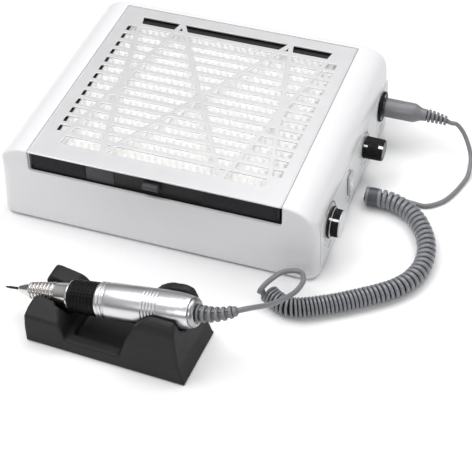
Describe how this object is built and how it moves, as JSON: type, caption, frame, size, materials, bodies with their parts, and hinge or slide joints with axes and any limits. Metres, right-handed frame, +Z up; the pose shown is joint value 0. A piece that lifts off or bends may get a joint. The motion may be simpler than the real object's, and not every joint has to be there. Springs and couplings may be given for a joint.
{
  "type": "nail dust collector",
  "caption": "Desktop nail dust collector with a slotted lift-off cover over a filter and fan, side controls, and a plugged-in rotary handpiece on a coiled cord and rubber rest.",
  "frame": {"origin": "middle of the footprint of the whole set (housing, cords, handpiece and rest), on the table plane", "axes": "+Z up; +Y from the front edge of the housing, where the hands rest, to its rear; +X towards the side with the controls"},
  "size_m": [0.3666, 0.368, 0.0736],
  "materials": {
    "white_shell": "satin white moulded ABS",
    "white_base": "matt off-white moulded ABS",
    "black_rubber": "matt",
    "zinc_screws": "zinc plated",
    "black_plastic": "fine moulded grain",
    "grey_plastic": "matt",
    "foam": "open-cell foam",
    "magnet_metal": "nickel plated",
    "sheet_steel": "plated sheet",
    "bearing_steel": "ground",
    "copper_winding": "enamelled copper",
    "circuit_board": "green solder mask",
    "component_plastic": "moulded",
    "heat_sink_metal": "extruded",
    "panel_film": "printed film",
    "component_metal": "plated",
    "knob_black": "satin black",
    "cap_silver": "satin anodised",
    "rocker_grey": "satin light grey",
    "rocker_frame": "satin grey",
    "wire_sheath": "PVC sheath",
    "plate_metal": "satin, light silver",
    "filter_paper": "white non-woven",
    "tab_grey": "matt",
    "ferrule_chrome": "nickel plated",
    "cord_grey": "satin grey PVC",
    "pin_brass": "plated",
    "coil_grey": "satin blue-grey polyurethane",
    "cradle_rubber": "matt black soft rubber",
    "hand_aluminium": "polished satin",
    "hand_chrome": "turned, polished",
    "sleeve_rubber": "ribbed black",
    "hand_rear_grey": "satin",
    "dark_steel": "dark"
  },
  "bodies": {
    "housing": {"top_shell": "white_shell", "base_plate": "white_base", "rubber_feet": "black_rubber", "base_screws": "zinc_screws", "exhaust_grille": "white_base", "power_inlet": "black_plastic", "fan_deck": "grey_plastic", "fan_guard": "black_plastic", "fan_shroud": "grey_plastic", "filter_gasket": "foam", "cover_magnets": "magnet_metal", "motor_mount": "sheet_steel", "motor_screws": "zinc_screws", "motor_can": "sheet_steel", "motor_bearings": "bearing_steel", "motor_stator": "copper_winding", "power_board": "circuit_board", "power_components": "component_plastic", "heat_sink": "heat_sink_metal", "control_board": "circuit_board", "control_label": "panel_film", "potentiometers": "component_metal", "pot_nuts": "zinc_screws", "direction_switch": "rocker_frame", "handpiece_socket": "knob_black", "internal_wiring": "wire_sheath", "cradle": "cradle_rubber", "coiled_cord": "coil_grey"},
    "cover": {"cover_plate": "plate_metal"},
    "filter": {"filter_frame": "black_plastic", "filter_media": "filter_paper", "filter_pads": "foam", "filter_pull_tab": "tab_grey"},
    "fan_rotor": {"impeller": "black_plastic", "impeller_nut": "zinc_screws", "motor_shaft": "bearing_steel", "motor_rotor": "magnet_metal"},
    "suction_control": {"suction_knob": "knob_black", "suction_knob_cap": "cap_silver", "suction_pot_shaft": "bearing_steel"},
    "speed_control": {"speed_knob": "knob_black", "speed_knob_cap": "cap_silver", "speed_pot_shaft": "bearing_steel"},
    "direction_control": {"direction_rocker": "rocker_grey"},
    "plug": {"plug_ferrule": "ferrule_chrome", "plug_body": "cord_grey", "plug_pins": "pin_brass", "plug_lead": "cord_grey"},
    "handpiece": {"handpiece_body": "hand_aluminium", "handpiece_nose": "hand_chrome", "handpiece_rear_cap": "hand_rear_grey", "handpiece_strain_relief": "cord_grey", "handpiece_lead": "cord_grey", "handpiece_motor": "sheet_steel", "handpiece_bearings": "bearing_steel"},
    "sleeve": {"lock_sleeve": "sleeve_rubber"},
    "hand_spindle": {"spindle": "bearing_steel", "collet": "bearing_steel", "bit": "dark_steel"}
  },
  "joints": [
    {"name": "cover_lift", "type": "slide", "parent": "housing", "child": "cover", "axis": [0, 0, 1], "range_m": [0, 0.12]},
    {"name": "filter_lift", "type": "slide", "parent": "housing", "child": "filter", "axis": [0, 0, 1], "range_m": [0, 0.06]},
    {"name": "fan_spin", "type": "hinge", "parent": "housing", "child": "fan_rotor", "pos_m": [-0.05443, 0.06245, 0.031], "axis": [0, 0, 1], "continuous": true},
    {"name": "suction_turn", "type": "hinge", "parent": "housing", "child": "suction_control", "pos_m": [0.09457, -0.01025, 0.0352], "axis": [1, 0, 0], "range_deg": [-150, 150]},
    {"name": "speed_turn", "type": "hinge", "parent": "housing", "child": "speed_control", "pos_m": [0.09457, 0.09445, 0.0314], "axis": [1, 0, 0], "range_deg": [-150, 150]},
    {"name": "direction_rock", "type": "hinge", "parent": "housing", "child": "direction_control", "pos_m": [0.09217, 0.04695, 0.03], "axis": [0, 1, 0], "range_deg": [0, 16]},
    {"name": "plug_pull", "type": "slide", "parent": "housing", "child": "plug", "axis": [1, 0, 0], "range_m": [0, 0.016], "deforming": ["plug_lead"]},
    {"name": "handpiece_lift", "type": "slide", "parent": "housing", "child": "handpiece", "axis": [0, 0, 1], "range_m": [0, 0.06], "deforming": ["handpiece_lead"]},
    {"name": "sleeve_twist", "type": "hinge", "parent": "handpiece", "child": "sleeve", "pos_m": [-0.03443, -0.15055, 0.0373], "axis": [0.9816, -0.0446, 0.1857], "range_deg": [0, 90]},
    {"name": "spindle_spin", "type": "hinge", "parent": "handpiece", "child": "hand_spindle", "pos_m": [-0.03443, -0.15055, 0.0373], "axis": [0.9816, -0.0446, 0.1857], "continuous": true}
  ],
  "couplings": [
    {"joint": "filter_lift", "follows": "cover_lift", "ratio": 0.5}
  ]
}
